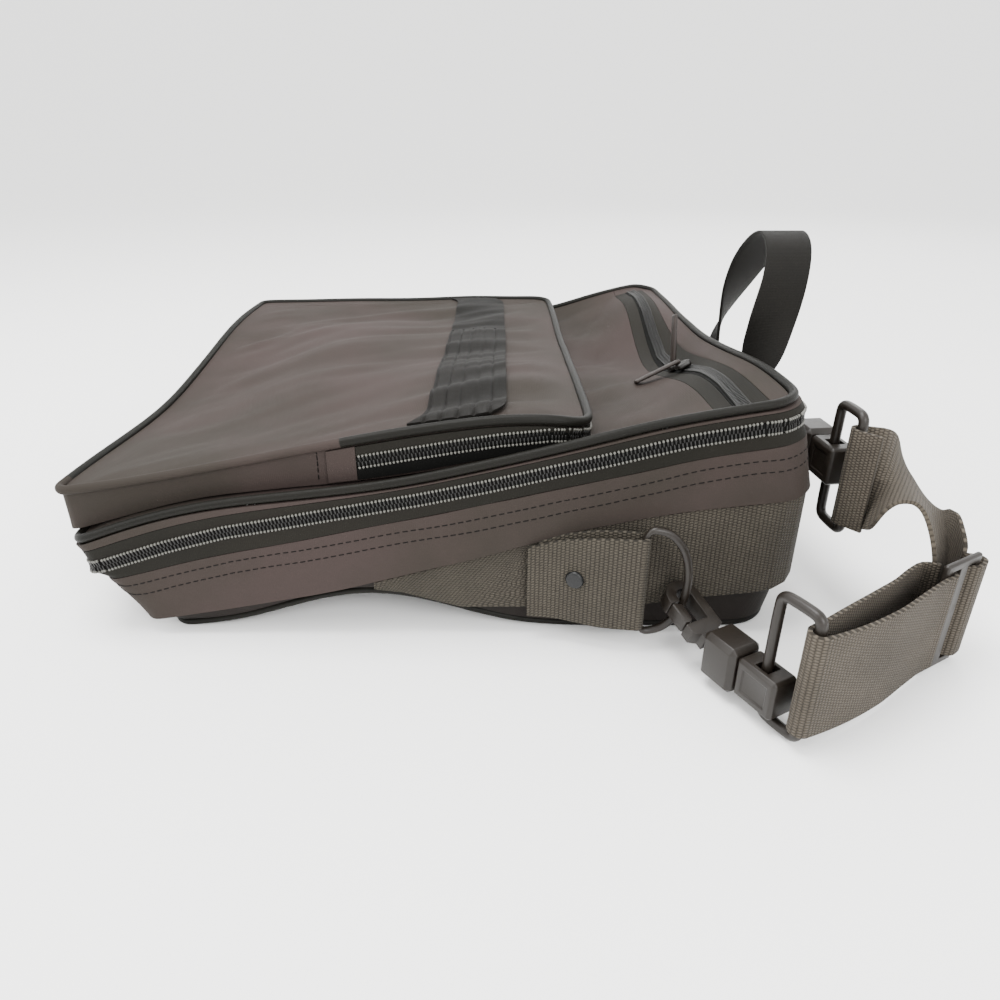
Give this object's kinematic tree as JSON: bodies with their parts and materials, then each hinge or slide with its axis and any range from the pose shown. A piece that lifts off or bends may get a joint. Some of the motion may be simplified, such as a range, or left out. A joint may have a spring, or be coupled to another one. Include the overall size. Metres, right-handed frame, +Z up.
{
  "type": "soft briefcase",
  "caption": "Soft nylon briefcase lying on its back, with a raised box pocket, zippers round its body and front, a webbing handle and a snap-hooked shoulder strap.",
  "frame": {"origin": "middle of the flat underside of the back panel, on the surface that the bag lies on", "axes": "+X from the bag's bottom end to its top end, where the handle is, +Y across its width, away from the side with the snap hook, +Z up through its thickness"},
  "size_m": [0.4449, 0.4772, 0.1789],
  "materials": {
    "nylon": "smooth close-woven nylon, soft sheen",
    "nylon_dark": "smooth close-woven nylon",
    "trim": "cord covered with smooth cloth",
    "tape": "woven zipper tape",
    "coil": "satin zipper teeth",
    "band": "dark woven band",
    "webbing": "coarse woven webbing",
    "handle": "fine dark webbing",
    "plastic": "satin moulded plastic",
    "rivet": "satin dark paint",
    "leather": "smooth leather",
    "slider": "satin dark metal"
  },
  "bodies": {
    "bag": {"back_panel": "nylon_dark", "back_piping": "trim", "rear_gusset": "nylon_dark", "front_gusset": "nylon", "lower_zip_tape": "tape", "main_zip_coil": "coil", "upper_zip_tape": "tape", "front_rim": "nylon", "front_piping": "trim", "front_panel": "nylon", "top_zip_tape_lower": "tape", "top_zip_coil": "coil", "top_zip_tape_upper": "tape", "top_flap": "nylon", "top_corner_near": "nylon", "top_corner_far": "nylon", "pocket_gusset": "nylon", "pocket_piping": "trim", "pocket_panel": "nylon", "ribbed_band": "band", "plain_band": "band", "pocket_zip_tape_lower": "tape", "pocket_zip_coil": "coil", "pocket_zip_tape_upper": "tape", "pocket_end_tab_near": "nylon", "pocket_end_tab_far": "nylon", "belt_webbing": "webbing", "ring_tab_near": "webbing", "d_ring_near": "plastic", "tab_rivet_near": "rivet", "clip_hook_near": "plastic", "clip_collar_near": "plastic", "clip_tongue_near": "plastic", "clip_loop_near": "plastic", "ring_tab_top": "webbing", "d_ring_top": "plastic", "tab_rivet_top": "rivet", "clip_hook_top": "plastic", "clip_collar_top": "plastic", "clip_tongue_top": "plastic", "clip_loop_top": "plastic", "strap_slider": "plastic", "shoulder_strap": "webbing", "carry_handle": "handle", "top_zip_slider_1": "slider", "puller_lying": "leather", "top_zip_slider_2": "slider", "puller_standing": "leather"},
    "gate_near": {"clip_gate_near": "plastic"},
    "gate_top": {"clip_gate_top": "plastic"}
  },
  "joints": [
    {"name": "gate_near_hinge", "type": "hinge", "parent": "bag", "child": "gate_near", "pos_m": [0.12067, -0.21949, 0.02318], "axis": [-0.1759, 0.3308, -0.9272], "range_deg": [0, 8], "stiffness_Nm_per_rad": 0.01},
    {"name": "gate_top_hinge", "type": "hinge", "parent": "bag", "child": "gate_top", "pos_m": [0.1925, -0.1129, 0.07177], "axis": [0.0585, -0.5561, -0.829], "range_deg": [0, 16], "stiffness_Nm_per_rad": 0.01}
  ]
}
